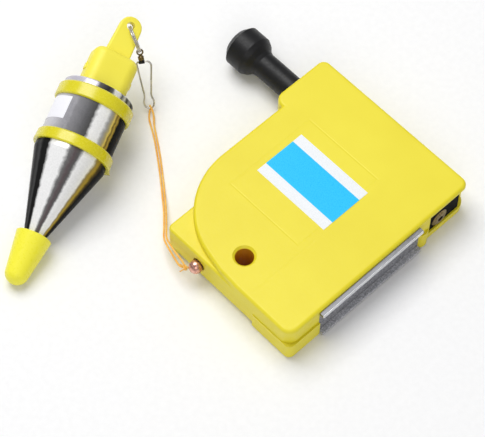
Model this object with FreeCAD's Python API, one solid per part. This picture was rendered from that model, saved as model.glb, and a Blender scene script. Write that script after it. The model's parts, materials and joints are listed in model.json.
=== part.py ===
import FreeCAD, Part
import math
import os
from FreeCAD import Rotation, Vector

# Plumb line setter: a spring-wound line reel with a magnet and a push needle on its mounting side,
# and a plumb bob on a doubled leader. All lengths are in millimetres.
#
# Frame: the reel lies on its rear cover. +Z points out of the front cover, +X out of the mounting side
# and +Y towards the needle end. The origin is the foot of the spool's axis on the rear face.

# ---- Case -------------------------------------------------------------------------------------
CASE_HEIGHT = 20.0         # front face above the rear face
PARTING_Z = 10.5           # where the two covers meet
WALL = 2.0
DRUM_CENTRE = Vector(3.5, 3.6, 0)
DRUM_RADIUS = 37.7         # round zone around the spool
DRUM_SIDE_X = -34.2
MOUNT_X = 47.0             # mounting side
TOP_Y = 68.9
BOTTOM_Y = -36.0
KNOB_SIDE_X = -39.5        # short side that the push knob comes out of
KNOB_ZONE_Y = 38.5         # lower edge of the wider top zone
SHOULDER_X = -25.4         # left side of the low shoulder
SHOULDER_Z = 16.5
RAISED_FOOT = [(-5.0, -33.2), (5.0, -35.2), (16.0, -36.0)]     # low edge of the full height zone
FRONT_TOP_CORNER = 4.0
REAR_TOP_CORNER = 5.5
FRONT_LOW_CORNER = 5.2
REAR_LOW_CORNER = 4.0
KNOB_TOP_CORNER = 3.5
KNOB_LOW_CORNER = 5.0
SHOULDER_CORNER = 2.5
ZONE_OVERLAP = 8.0         # how far neighbouring zones of the outline reach into each other
FACE_ROUNDING = 1.6
SHOULDER_ROUNDING = 1.2
REAR_ROUNDING = 2.2
BOTTOM_ROUNDING = 4.5      # rear edge of the bottom side
FOOT_X = (26.0, 47.8)      # corner foot of the rear cover, proud of the sides
FOOT_Y = (-36.4, -19.0)
FOOT_CORNER = 3.0
FOOT_ROUNDING = 1.8
FLOOR_Z = 0.8              # inner posts start this deep in the rear face's wall
CEILING_Z = 19.0           # and end this deep in the front face's wall
REACH = 1.0                # how far a cutting solid runs past what it cuts

# ---- Mounting side ----------------------------------------------------------------------------
MAGNET_Y = (-18.8, 39.2)
MAGNET_BACK_X = 38.4
MAGNET_FACE_X = 46.9
PLATE_EDGE_X = 49.3
PLATE = 1.6
UPPER_PLATE_TOP_Z = 18.0
LOWER_PLATE_FOOT_Z = 1.3
POCKET_GAP = 0.1
PLATE_CHAMFER = 0.3
MAGNET_RIB = 2.2
END_POST = (44.6, 42.3)

# ---- Needle mechanism -------------------------------------------------------------------------
NEEDLE_Y = 52.3
NEEDLE_Z = 10.0
NEEDLE_RADIUS = 1.25
NEEDLE_TIP_X = 45.2
NEEDLE_BACK_X = -30.0
NEEDLE_GAP = 0.3           # round the needle where it passes the spring's stop
NEEDLE_TAPER = 7.0
KNOB_GAP = 0.1
WINDOW_Y = 45.5            # the window runs from here out through the case's top corner
WINDOW_Z = (5.5, 18.2)
WINDOW_X = 43.8            # back of the window
GUIDE_X = (30.0, 44.9, 46.2)         # back of the guide, front of its base, front of its face
GUIDE_Y = (45.6, 63.8)
GUIDE_Z = (2.1, 17.9)
GUIDE_GAP = 0.1
NOSE_BORE = 1.4
NOSE_BUSH = 3.0
NOSE_RADIUS = 4.3
NOSE_X = (36.0, 45.2, 46.3, 47.0)    # back, seat, edge of the dome and front of the nose
SHAFT_RADIUS = 5.8
SHAFT_END_X = -15.0
FLANGE_RADIUS = 7.2
FLANGE_X = (-36.9, -35.3)
HEAD_X = (-75.8, -73.3, -65.5, -63.2, -61.2, -59.4)      # stations of the knob's head
HEAD_RADII = (6.9, 9.6, 9.6, 8.4, 6.5, SHAFT_RADIUS)
SPRING_STOP_X = (4.0, 6.0)
SPRING_STOP_HALF = 8.3
RETURN_WIRE = 0.4
RETURN_RADIUS = 6.8
RETURN_TURNS = 9
RETURN_CORNERS = 8
SPRING_END_GAP = 0.1

# ---- Spool and power spring -------------------------------------------------------------------
AXLE_RADIUS = 2.0
SPOOL_BORE = 2.06
FLANGE_OUTER = 18.2
HUB_RADIUS = 7.0
ARBOR_RADIUS = 4.8
SPOOL_Z = (8.2, 9.4, 15.4, 16.6)     # lower flange, winding, upper flange
ARBOR_FOOT_Z = 3.4
SPRING_WALL = (17.2, 18.4)
SPRING_WALL_TOP = 7.8
SPRING_Z = (3.5, 7.7)
SPRING_STRIP = 0.25
SPRING_TURNS = 8
SPRING_SLOT = 0.4                    # half width of the slots that hold the spring's ends
SLOT_X = 2.9                         # bottom of the arbor's slot
SPRING_INNER_GAP = 0.6
SPRING_OUTER_GAP = 0.5
AXLE_BOSS = 4.0
AXLE_BOSS_Z = (3.2, 17.0)            # top of the rear boss, foot of the front boss
WASHER_RADIUS = 6.0
WASHER_Z = (16.62, 16.98)
LINE_DIAMETER = 1.0
LINE_LENGTH = 3000.0
PACKING = 0.75                       # share of the wound pack that is line

# ---- Outlet -----------------------------------------------------------------------------------
OUTLET_X = -6.1
OUTLET_Z = 10.0
OUTLET_SEAT_Y = -34.15
OUTLET_INNER_Y = -31.5
OUTLET_SEAT_RADIUS = 3.2
OUTLET_RADIUS = 2.4
OUTLET_BOSS_HALF = 4.6
EYELET_FLANGE = 0.5
EYELET_RADIUS = 3.1
BEAD_BORE = 1.0
BEAD = Vector(OUTLET_X, -37.7, OUTLET_Z)
BEAD_RADIUS = 3.0
KNOT_DIRECTION = Vector(-0.68, -0.69, -0.245)
KNOT_DISTANCE = 4.4
KNOT_RADIUS = 1.35
KNOT_BITE = 0.02                     # how far the loop's ends reach into the knot

# ---- Hang hole --------------------------------------------------------------------------------
HANG = (7.9, -23.5)
HANG_RADIUS = 4.0
HANG_TUBE = 5.7
HANG_RIM = 1.0

# ---- Screws -----------------------------------------------------------------------------------
SCREWS = [(41.5, -30.0), END_POST, (14.0, 62.0), (-33.6, 63.6), (-27.5, 32.0), (-20.3, -31.7)]
POST_RADIUS = 3.6
SCREW_SHANK = 1.4
SCREW_HEAD = 2.4
SCREW_HEAD_Z = (1.9, 3.5)
SCREW_TIP_Z = 13.0
SCREW_SLOT = (1.5, 0.3, 0.8)         # half length, half width and depth of the cross slot
SHANK_GAP = 0.15
HEAD_GAP = 0.25

# ---- Label ------------------------------------------------------------------------------------
LABEL_X = (-18.1, 21.3)
LABEL_Y = (8.5, 34.3)
LABEL_THICKNESS = 0.15

# ---- Plumb bob, stations measured along its axis from the tab's hole ---------------------------
BOB_HOLE_XY = (-103.0, 14.1)
BOB_HEADING = -66.2                  # plan direction from the tab to the point, degrees from +X
TAB_ROLL = 26.0                      # turn of the tab's face from upright, degrees
TAB_CENTRE = (0.3, 0.6)              # centre of the tab's round end, off the hole to the side and down
TAB_RADIUS = 5.0
TAB_BASE_HALF = 5.8
TAB_THICKNESS = 3.4
TAB_HOLE = 1.8
TAB_END_S = 17.0
TAB_ROUNDING = 0.8
HEAD_S = (14.3, 32.7)
HEAD_HALF_WIDTH = 10.2
HEAD_HALF_DEPTH = 7.5
HEAD_CORNER = 5.0
HEAD_TOP_ROUNDING = 3.6
EAR_HALF_WIDTH = 10.7
EAR_HALF_DEPTH = 1.8
EAR_S = (23.3, 26.0)
STUD_RADIUS = 3.0
STUD_S = (26.0, 42.0)
BODY_RADIUS = 15.9
BODY_TOP_RADIUS = 15.6
UPPER_BAND_S = (35.5, 41.7)
UPPER_BAND_RADIUS = 17.0
LOWER_BAND_S = (57.8, 63.0)
LOWER_GROOVE = 15.0
BRIM_S = 62.5
BRIM_RADIUS = 17.4
SPUR_S = (59.4, 63.0)                # sideways spur of the lower band
SPUR_REACH = (16.6, 18.6)
SPUR_ROOT = (15.8, 16.0)
SPUR_HALF_WIDTH = (1.0, 4.0)
CONE_SLOPE = 0.312                   # radius lost per millimetre along the cone
CONE_RADIUS_64 = 16.2                # cone radius at station 64
POINT_S = 115.2
CAP_MOUTH_S = 100.8
CAP_MOUTH_RADIUS = 7.8
CAP_DOME_S = 118.1
CAP_DOME_RADIUS = 5.2
CAP_DOME_START = 0.35                # angle at which the cap's cone meets its dome, radians
CAP_DOME_STEPS = 8
CAP_BORE = 6.6
CAP_LIP = 0.5
CAP_SEAT_S = 102.0                   # where the cap's bore meets the cone
CAP_GAP = 0.05
STICKER_S = (42.9, 53.2)
STICKER_ANGLES = (-112.0, -46.0)     # from the tab's face towards its right side, degrees
STICKER_THICKNESS = 0.12

# ---- Ring, swivel and snap --------------------------------------------------------------------
RING_WIRE = 0.4                      # the split ring is two turns of this wire side by side
RING_TURN_OFFSET = 0.37
RING_LEAN = Vector(0.531, -0.405, 0.745)     # how the ring passes through the tab's hole
RING_FAR_END = Vector(-94.0, 11.4, 23.85)
SNAP_FOOT = Vector(-80.6, 4.4, 2.05)
SNAP_WIRE = 0.4
EYE_WIRE = 0.35
EYE_RADIUS = 1.25
EYE_CENTRE_T = 0.15                  # stations along the chain from the ring's far end
BARREL_T = (1.8, 4.1)
BARREL_RADIUS = 1.3
CLASP_T = (4.2, 5.3)
CLASP_HALF_WIDTH = 1.25
CLASP_HALF_DEPTH = 0.95
STEM_RADIUS = 0.4
STEM_HEAD = 0.8
STEM_GAP = 0.08
BARREL_END_RADIUS = 0.9
BARREL_WALL = 0.55
HEAD_T = (0.6, 1.0)                  # a stem's head, measured in from the barrel's end

# ---- Leader -----------------------------------------------------------------------------------
LEADER_DIAMETER = 0.9
LEADER_OUT = [
    (-11.5, -41.6, 7.9),
    (-14.3, -41.0, 7.8),
    (-18.1, -39.9, 7.6),
    (-22.2, -38.7, 7.1),
    (-26.7, -36.9, 6.0),
    (-30.8, -32.9, 4.3),
    (-38.0, -26.4, 2.0),
    (-45.7, -20.5, 0.8),
    (-54.4, -13.9, 0.5),
    (-62.5, -8.2, 0.5),
    (-69.4, -3.6, 0.5),
    (-74.4, -0.9, 0.5),
    (-78.1, 1.2, 0.7),
]
LEADER_BACK = [
    (-76.9, 3.3, 2.6),
    (-73.4, 0.0, 1.6),
    (-68.6, -2.9, 0.7),
    (-61.7, -7.3, 0.5),
    (-53.6, -13.2, 0.6),
    (-44.7, -19.9, 1.3),
    (-36.9, -26.1, 3.1),
    (-29.6, -32.6, 5.6),
    (-25.6, -36.4, 7.3),
    (-21.6, -37.7, 8.5),
    (-17.3, -38.8, 9.1),
    (-13.8, -39.5, 9.5),
    (-11.5, -39.9, 9.6),
]
TURN_REACH = 1.1                     # how far the leader's turn stands off the snap's wire

WINDING_Z = (SPOOL_Z[1] + 0.05, SPOOL_Z[2] - 0.05)
WOUND_RADIUS = math.sqrt(
    HUB_RADIUS ** 2
    + LINE_LENGTH * LINE_DIAMETER ** 2 / 4.0 / PACKING / (WINDING_Z[1] - WINDING_Z[0])
)
X_AXIS = Vector(1, 0, 0)
Y_AXIS = Vector(0, 1, 0)
Z_AXIS = Vector(0, 0, 1)


def unit(vector):
    return Vector(vector).normalize()


def save(name, shape):
    """Write one sub-part, after checking that it is made of closed, valid solids."""
    if not shape.isValid() or not shape.Solids:
        raise RuntimeError(name + " is not a valid solid")
    shape.exportStep("parts/" + name + ".step")
    print("%-18s %2d solid  %10.1f mm3" % (name, len(shape.Solids), shape.Volume))


def box(x, y, z):
    """Box between three pairs of limits."""
    return Part.makeBox(x[1] - x[0], y[1] - y[0], z[1] - z[0], Vector(x[0], y[0], z[0]))


def rod(radius, start, end):
    """Cylinder between two points."""
    start = Vector(start)
    run = Vector(end).sub(start)
    return Part.makeCylinder(radius, run.Length, start, run)


def tube(outer, inner, start, end):
    return rod(outer, start, end).cut(rod(inner, start, end))


def fuse(shapes):
    return shapes[0].multiFuse(shapes[1:]).removeSplitter()


def turned(profile):
    """Solid turned about Z from a profile of (station, radius) points."""
    points = [Vector(radius, 0, station) for station, radius in profile]
    face = Part.Face(Part.makePolygon(points + [points[0]]))
    return face.revolve(Vector(0, 0, 0), Z_AXIS, 360)


def rounded(shape, radius, wanted):
    """Round the edges for which wanted(edge) is true."""
    return shape.makeFillet(radius, [edge for edge in shape.Edges if wanted(edge)])


def flat_at(height):
    """Test for an edge that lies level at one height."""
    def wanted(edge):
        low = abs(edge.BoundBox.ZMin - height) < 1e-4
        return low and abs(edge.BoundBox.ZMax - height) < 1e-4
    return wanted


def flat_side(edge):
    """True for the foot's two edges that lie inside the case."""
    bounds = edge.BoundBox
    return bounds.XMax < FOOT_X[0] + 0.01 or bounds.YMin > FOOT_Y[1] - 0.01


def placed(shape, origin, x_direction, y_direction, z_direction):
    """Move a shape from its own frame to a frame given by its origin and axes."""
    turn = Rotation(Vector(x_direction), Vector(y_direction), Vector(z_direction), "ZXY")
    moved = shape.copy()
    moved.Placement = FreeCAD.Placement(Vector(origin), turn)
    return moved


def route(points, name):
    """Wire of straight runs joined by tangent arcs, each as large as its two runs allow."""
    points = [Vector(point) for point in points]
    edges = []
    radii = []
    start = points[0]
    for before, corner, after in zip(points, points[1:], points[2:]):
        incoming = corner.sub(before)
        outgoing = after.sub(corner)
        half_turn = incoming.getAngle(outgoing) / 2.0
        trim = 0.45 * min(incoming.Length, outgoing.Length)
        radius = trim / math.tan(half_turn)
        radii.append(radius)
        arc_start = corner.sub(unit(incoming).multiply(trim))
        arc_end = corner.add(unit(outgoing).multiply(trim))
        inward = unit(unit(outgoing).sub(unit(incoming)))
        centre = corner.add(Vector(inward).multiply(radius / math.cos(half_turn)))
        middle = centre.sub(Vector(inward).multiply(radius))
        edges.append(Part.LineSegment(start, arc_start).toShape())
        edges.append(Part.Arc(arc_start, middle, arc_end).toShape())
        start = arc_end
    edges.append(Part.LineSegment(start, points[-1]).toShape())
    print("%-18s radii %s" % (name, " ".join("%.1f" % radius for radius in radii)))
    return Part.Wire(edges)


def round_along(path, radius, name):
    """Round bar swept along a route; its volume is compared with section times length."""
    first = path.Edges[0]
    start = first.valueAt(first.FirstParameter)
    circle = Part.Wire(Part.makeCircle(radius, start, first.tangentAt(first.FirstParameter)))
    solid = path.makePipeShell([circle], True, True)
    expected = math.pi * radius ** 2 * path.Length
    print("%-18s length %.1f, volume ratio %.4f" % (name, path.Length, solid.Volume / expected))
    return solid


# ---- Case -------------------------------------------------------------------------------------
def rounded_outline(x, y, radii):
    """Rectangle as a face, with one corner radius each, anticlockwise from low x, low y."""
    corners = [Vector(x[0], y[0], 0), Vector(x[1], y[0], 0), Vector(x[1], y[1], 0), Vector(x[0], y[1], 0)]
    inward = [Vector(1, 1, 0), Vector(-1, 1, 0), Vector(-1, -1, 0), Vector(1, -1, 0)]
    edges = []
    ends = []
    for index, (corner, towards, radius) in enumerate(zip(corners, inward, radii)):
        if radius <= 0:
            ends.append((corner, corner))
            continue
        centre = corner.add(Vector(towards).multiply(radius))
        first_angle = 180.0 + 90.0 * index
        circle = Part.makeCircle(radius, centre, Z_AXIS, first_angle, first_angle + 90.0)
        edges.append(circle)
        ends.append((circle.valueAt(circle.FirstParameter), circle.valueAt(circle.LastParameter)))
    for index in range(4):
        edges.append(Part.makeLine(ends[index][1], ends[(index + 1) % 4][0]))
    return Part.Face(Part.Wire(Part.__sortEdges__(edges)))


def case_block(inset, low_z, high_z, corners, raised):
    """Solid inside the case outline; raised leaves out the low shoulder and the strip beside it."""
    top_corner, low_corner = corners
    top = rounded_outline(
        (KNOB_SIDE_X + inset, MOUNT_X - inset),
        (KNOB_ZONE_Y + inset, TOP_Y - inset),
        (KNOB_LOW_CORNER - inset, 0, top_corner - inset, KNOB_TOP_CORNER - inset),
    )
    drum = Part.Face(Part.Wire(Part.makeCircle(DRUM_RADIUS - inset, DRUM_CENTRE)))
    side = rounded_outline(
        (DRUM_SIDE_X + inset, MOUNT_X - inset),
        (DRUM_CENTRE.y, KNOB_ZONE_Y + ZONE_OVERLAP),
        (0, 0, 0, 0),
    )
    low = BOTTOM_Y + inset
    inner = DRUM_CENTRE.y + REACH
    if raised:
        right = MOUNT_X - inset - ZONE_OVERLAP
        points = [Vector(x, y + inset, 0) for x, y in RAISED_FOOT]
        points += [Vector(right, low, 0), Vector(right, inner, 0), Vector(RAISED_FOOT[0][0], inner, 0)]
        bottom = Part.Face(Part.makePolygon(points + [points[0]]))
        corner = rounded_outline(
            (RAISED_FOOT[-1][0] + REACH, MOUNT_X - inset), (low, inner), (0, low_corner - inset, 0, 0)
        )
        faces = [top, drum, side, bottom, corner]
    else:
        shoulder = rounded_outline(
            (SHOULDER_X + inset, MOUNT_X - inset),
            (low, inner),
            (max(SHOULDER_CORNER - inset, REACH), low_corner - inset, 0, 0),
        )
        faces = [top, drum, side, shoulder]
    outline = fuse(faces)
    outline.translate(Vector(0, 0, low_z))
    return outline.extrude(Vector(0, 0, high_z - low_z))


def pocket():
    """Room for the magnet and its two plates, open to the mounting side."""
    return box(
        (MAGNET_BACK_X - POCKET_GAP, PLATE_EDGE_X),
        (MAGNET_Y[0] - POCKET_GAP, MAGNET_Y[1] + POCKET_GAP),
        (LOWER_PLATE_FOOT_Z - POCKET_GAP / 2, UPPER_PLATE_TOP_Z + POCKET_GAP / 2),
    )


def needle_line(start_x, end_x, radius):
    return rod(radius, (start_x, NEEDLE_Y, NEEDLE_Z), (end_x, NEEDLE_Y, NEEDLE_Z))


def case_openings():
    """Everything both covers leave room for: magnet, needle, knob, outlet and hang hole."""
    window = box((WINDOW_X, MOUNT_X + REACH), (WINDOW_Y, TOP_Y + REACH), WINDOW_Z)
    outside = (OUTLET_X, BOTTOM_Y - REACH, OUTLET_Z)
    seat = rod(OUTLET_SEAT_RADIUS, outside, (OUTLET_X, OUTLET_SEAT_Y, OUTLET_Z))
    outlet = rod(OUTLET_RADIUS, outside, (OUTLET_X, OUTLET_INNER_Y + REACH, OUTLET_Z))
    hang = rod(HANG_RADIUS, (HANG[0], HANG[1], -REACH), (HANG[0], HANG[1], CASE_HEIGHT + REACH))
    knob = needle_line(KNOB_SIDE_X - REACH, KNOB_SIDE_X + WALL + REACH, SHAFT_RADIUS + KNOB_GAP)
    way = needle_line(SPRING_STOP_X[0] - REACH, SPRING_STOP_X[1] + REACH, NEEDLE_RADIUS + NEEDLE_GAP)
    return [pocket(), window, seat, outlet, hang, knob, way]


def inner_features(low_z, high_z):
    """Ribs, posts and bosses of one cover, between the levels it fills."""
    levels = (low_z, high_z)
    magnet_rib = box((MAGNET_BACK_X - MAGNET_RIB, MAGNET_BACK_X - POCKET_GAP), MAGNET_Y, levels)
    stop_y = (NEEDLE_Y - SPRING_STOP_HALF, NEEDLE_Y + SPRING_STOP_HALF)
    spring_stop = box(SPRING_STOP_X, stop_y, levels)
    boss_x = (OUTLET_X - OUTLET_BOSS_HALF, OUTLET_X + OUTLET_BOSS_HALF)
    outlet_boss = box(boss_x, (BOTTOM_Y + REACH, OUTLET_INNER_Y), levels)
    hang_tube = rod(HANG_TUBE, (HANG[0], HANG[1], low_z), (HANG[0], HANG[1], high_z))
    posts = [rod(POST_RADIUS, (x, y, low_z), (x, y, high_z)) for x, y in SCREWS[:-1]]
    shoulder_top = min(high_z, SHOULDER_Z - REACH)
    x, y = SCREWS[-1]
    posts.append(rod(POST_RADIUS, (x, y, low_z), (x, y, shoulder_top)))
    return [magnet_rib, spring_stop, outlet_boss, hang_tube] + posts


def front_cover():
    corners = (FRONT_TOP_CORNER, FRONT_LOW_CORNER)
    low = case_block(0, PARTING_Z, SHOULDER_Z, corners, False)
    low = rounded(low, SHOULDER_ROUNDING, flat_at(SHOULDER_Z))
    high = case_block(0, PARTING_Z, CASE_HEIGHT, corners, True)
    high = rounded(high, FACE_ROUNDING, flat_at(CASE_HEIGHT))
    room_low = case_block(WALL, PARTING_Z, SHOULDER_Z - WALL, corners, False)
    room_high = case_block(WALL, PARTING_Z, CASE_HEIGHT - WALL, corners, True)
    shell = low.fuse(high).cut(room_low.fuse(room_high))
    features = [feature.common(low.fuse(high)) for feature in inner_features(PARTING_Z, CEILING_Z)]
    axle_boss = rod(AXLE_BOSS, (0, 0, AXLE_BOSS_Z[1]), (0, 0, CEILING_Z))
    shell = shell.multiFuse(features + [axle_boss])
    pilots = [rod(SCREW_SHANK, (x, y, PARTING_Z - REACH), (x, y, SCREW_TIP_Z)) for x, y in SCREWS]
    axle = rod(AXLE_RADIUS, (0, 0, PARTING_Z), (0, 0, CEILING_Z))
    shell = shell.cut(Part.makeCompound(case_openings()))
    shell = shell.cut(Part.makeCompound(pilots + [axle]))
    rim = Part.makeCone(
        HANG_RADIUS, HANG_RADIUS + HANG_RIM, HANG_RIM,
        Vector(HANG[0], HANG[1], CASE_HEIGHT - HANG_RIM), Z_AXIS,
    )
    return shell.cut(rim).removeSplitter()


def rear_cover():
    corners = (REAR_TOP_CORNER, REAR_LOW_CORNER)
    block = case_block(0, 0, PARTING_Z, corners, False)
    block = rounded(block, REAR_ROUNDING, flat_at(0))
    centre = (BOTTOM_Y + BOTTOM_ROUNDING, BOTTOM_ROUNDING)
    run = (SHOULDER_X - REACH, FOOT_X[0] + REACH)
    edge = box(run, (BOTTOM_Y - REACH, centre[0]), (-REACH, centre[1]))
    edge = edge.cut(rod(BOTTOM_ROUNDING, (run[0], *centre), (run[1], *centre)))
    foot = rounded_outline(FOOT_X, FOOT_Y, (0, FOOT_CORNER, 0, 0)).extrude(Vector(0, 0, PARTING_Z))
    foot = rounded(foot, FOOT_ROUNDING, lambda side: flat_at(0)(side) and not flat_side(side))
    room = case_block(WALL, WALL, PARTING_Z + REACH, corners, False)
    shell = block.cut(edge).fuse(foot).cut(room)
    spring_wall = tube(SPRING_WALL[1], SPRING_WALL[0], (0, 0, FLOOR_Z), (0, 0, SPRING_WALL_TOP))
    spring_slot = box(
        (SPRING_WALL[0] - REACH, SPRING_WALL[1] + REACH),
        (-SPRING_SLOT, SPRING_SLOT),
        (WALL, SPRING_WALL_TOP + REACH),
    )
    axle_boss = rod(AXLE_BOSS, (0, 0, FLOOR_Z), (0, 0, AXLE_BOSS_Z[0]))
    shell = shell.multiFuse(inner_features(FLOOR_Z, PARTING_Z) + [spring_wall.cut(spring_slot), axle_boss])
    screws = []
    for x, y in SCREWS:
        screws.append(rod(SCREW_SHANK + SHANK_GAP, (x, y, 0), (x, y, PARTING_Z + REACH)))
        screws.append(rod(SCREW_HEAD + HEAD_GAP, (x, y, -REACH), (x, y, SCREW_HEAD_Z[1])))
    axle = rod(AXLE_RADIUS, (0, 0, FLOOR_Z), (0, 0, PARTING_Z))
    shell = shell.cut(Part.makeCompound(case_openings()))
    return shell.cut(Part.makeCompound(screws + [axle])).removeSplitter()


def case_screws():
    length, width, depth = SCREW_SLOT
    slot_z = (SCREW_HEAD_Z[0], SCREW_HEAD_Z[0] + depth)
    screws = []
    for x, y in SCREWS:
        head = rod(SCREW_HEAD, (x, y, SCREW_HEAD_Z[0]), (x, y, SCREW_HEAD_Z[1]))
        shank = rod(SCREW_SHANK, (x, y, SCREW_HEAD_Z[1]), (x, y, SCREW_TIP_Z))
        slots = [
            box((x - length, x + length), (y - width, y + width), slot_z),
            box((x - width, x + width), (y - length, y + length), slot_z),
        ]
        screws.append(head.fuse(shank).cut(Part.makeCompound(slots)).removeSplitter())
    return Part.makeCompound(screws)


def front_label():
    level = (CASE_HEIGHT, CASE_HEIGHT + LABEL_THICKNESS)
    return box(LABEL_X, LABEL_Y, level)


# ---- Mounting side ----------------------------------------------------------------------------
def pole_plate(foot_z):
    plate = box((MAGNET_BACK_X, PLATE_EDGE_X), MAGNET_Y, (foot_z, foot_z + PLATE))
    outer = [edge for edge in plate.Edges if edge.BoundBox.XMin > PLATE_EDGE_X - 0.01]
    return plate.makeChamfer(PLATE_CHAMFER, outer)


def magnet_block():
    level = (LOWER_PLATE_FOOT_Z + PLATE, UPPER_PLATE_TOP_Z - PLATE)
    return box((MAGNET_BACK_X, MAGNET_FACE_X), MAGNET_Y, level)


# ---- Needle mechanism -------------------------------------------------------------------------
def along_needle(solid):
    """Lay a solid turned about Z along the needle's axis, its stations becoming X."""
    return placed(solid, (0, NEEDLE_Y, NEEDLE_Z), Y_AXIS, Z_AXIS, X_AXIS)


def push_knob():
    profile = [(HEAD_X[0], 0)]
    profile += list(zip(HEAD_X, HEAD_RADII))
    profile += [
        (FLANGE_X[0], SHAFT_RADIUS), (FLANGE_X[0], FLANGE_RADIUS), (FLANGE_X[1], FLANGE_RADIUS),
        (FLANGE_X[1], SHAFT_RADIUS), (SHAFT_END_X, SHAFT_RADIUS), (SHAFT_END_X, NEEDLE_RADIUS),
        (NEEDLE_BACK_X, NEEDLE_RADIUS), (NEEDLE_BACK_X, 0),
    ]
    return along_needle(turned(profile))


def needle():
    profile = [
        (NEEDLE_BACK_X, 0), (NEEDLE_BACK_X, NEEDLE_RADIUS),
        (NEEDLE_TIP_X - NEEDLE_TAPER, NEEDLE_RADIUS), (NEEDLE_TIP_X, 0),
    ]
    return along_needle(turned(profile))


def needle_guide():
    """Black block whose face fills the window; it centres the needle and holds the nose."""
    base = box(GUIDE_X[:2], GUIDE_Y, GUIDE_Z)
    face = box((WINDOW_X, GUIDE_X[2]), GUIDE_Y, (WINDOW_Z[0] + GUIDE_GAP, WINDOW_Z[1] - GUIDE_GAP))
    x, y = END_POST
    post = rod(POST_RADIUS + GUIDE_GAP, (x, y, 0), (x, y, CASE_HEIGHT))
    bore = needle_line(GUIDE_X[0] - REACH, GUIDE_X[1], NEEDLE_RADIUS + GUIDE_GAP / 2)
    bush = needle_line(NOSE_X[0], GUIDE_X[2] + REACH, NOSE_BUSH)
    seat = needle_line(NOSE_X[1], GUIDE_X[2] + REACH, NOSE_RADIUS + GUIDE_GAP)
    return base.fuse(face).cut(Part.makeCompound([post, bore, bush, seat])).removeSplitter()


def needle_nose():
    """Turned bush with a domed flange around the needle's way out."""
    back, seat, edge, front = NOSE_X
    profile = [
        (back, NOSE_BORE), (back, NOSE_BUSH), (seat, NOSE_BUSH), (seat, NOSE_RADIUS), (edge, NOSE_RADIUS),
        (front, NOSE_BUSH), (front, NOSE_BORE),
    ]
    return along_needle(turned(profile))


def return_spring():
    """Coil spring around the knob's shaft, from its flange to the case's stop."""
    start = FLANGE_X[1] + RETURN_WIRE + SPRING_END_GAP
    length = SPRING_STOP_X[0] - start - RETURN_WIRE - SPRING_END_GAP
    steps = RETURN_TURNS * RETURN_CORNERS
    corners = []
    for step in range(steps + 1):
        angle = 2 * math.pi * step / RETURN_CORNERS
        corners.append((
            start + length * step / steps,
            NEEDLE_Y + RETURN_RADIUS * math.cos(angle),
            NEEDLE_Z + RETURN_RADIUS * math.sin(angle),
        ))
    return round_along(route(corners, "return_spring"), RETURN_WIRE, "return_spring")


# ---- Spool ------------------------------------------------------------------------------------
def spool():
    profile = [
        (ARBOR_FOOT_Z, SPOOL_BORE), (ARBOR_FOOT_Z, ARBOR_RADIUS), (SPOOL_Z[0], ARBOR_RADIUS),
        (SPOOL_Z[0], FLANGE_OUTER), (SPOOL_Z[1], FLANGE_OUTER), (SPOOL_Z[1], HUB_RADIUS),
        (SPOOL_Z[2], HUB_RADIUS), (SPOOL_Z[2], FLANGE_OUTER), (SPOOL_Z[3], FLANGE_OUTER),
        (SPOOL_Z[3], SPOOL_BORE),
    ]
    slot_z = (ARBOR_FOOT_Z - REACH, SPOOL_Z[0])
    slot = box((SLOT_X, ARBOR_RADIUS + REACH), (-SPRING_SLOT, SPRING_SLOT), slot_z)
    return turned(profile).cut(slot)


def wound_line():
    return tube(WOUND_RADIUS, HUB_RADIUS, (0, 0, WINDING_Z[0]), (0, 0, WINDING_Z[1]))


def drag_washer():
    return tube(WASHER_RADIUS, SPOOL_BORE, (0, 0, WASHER_Z[0]), (0, 0, WASHER_Z[1]))


def power_spring():
    """Flat strip wound as half circles of growing radius; one end hooks the arbor, one the case wall."""
    inner = ARBOR_RADIUS + SPRING_INNER_GAP
    step = (SPRING_WALL[0] - SPRING_OUTER_GAP - inner) / (2 * SPRING_TURNS)

    def half_circles(offset):
        arcs = []
        for half in range(2 * SPRING_TURNS):
            radius = inner + half * step + offset
            below = half % 2 == 1
            centre = Vector(step if below else 0, 0, SPRING_Z[0])
            start = centre.add(Vector(-radius if below else radius, 0, 0))
            middle = centre.add(Vector(0, -radius if below else radius, 0))
            end = centre.add(Vector(radius if below else -radius, 0, 0))
            arcs.append(Part.Arc(start, middle, end).toShape())
        return arcs

    inside = half_circles(0)
    outside = half_circles(SPRING_STRIP)
    first_in = inside[0].valueAt(inside[0].FirstParameter)
    first_out = outside[0].valueAt(outside[0].FirstParameter)
    last_in = inside[-1].valueAt(inside[-1].LastParameter)
    last_out = outside[-1].valueAt(outside[-1].LastParameter)
    caps = [Part.makeLine(first_in, first_out), Part.makeLine(last_in, last_out)]
    face = Part.Face(Part.Wire(Part.__sortEdges__(inside + outside + caps)))
    strip = face.extrude(Vector(0, 0, SPRING_Z[1] - SPRING_Z[0]))
    inner_tab = box((SLOT_X + SPRING_END_GAP, first_out.x), (-SPRING_STRIP, 0), SPRING_Z)
    outer_x = (last_in.x, SPRING_WALL[1] - SPRING_END_GAP)
    outer_tab = box(outer_x, (-SPRING_STRIP / 2, SPRING_STRIP / 2), SPRING_Z)
    return fuse([strip, inner_tab, outer_tab])


# ---- Outlet and line --------------------------------------------------------------------------
def outlet_eyelet():
    """Brass eyelet: a flange on the case's seat and a flared bore."""
    profile = [
        (0, 0.8), (0, EYELET_RADIUS), (EYELET_FLANGE, EYELET_RADIUS), (EYELET_FLANGE, OUTLET_RADIUS),
        (3.2, OUTLET_RADIUS), (3.2, 1.6), (2.6, 0.8),
    ]
    seat = (OUTLET_X, OUTLET_SEAT_Y - EYELET_FLANGE, OUTLET_Z)
    return placed(turned(profile), seat, X_AXIS, Vector(0, 0, -1), Y_AXIS)


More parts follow.
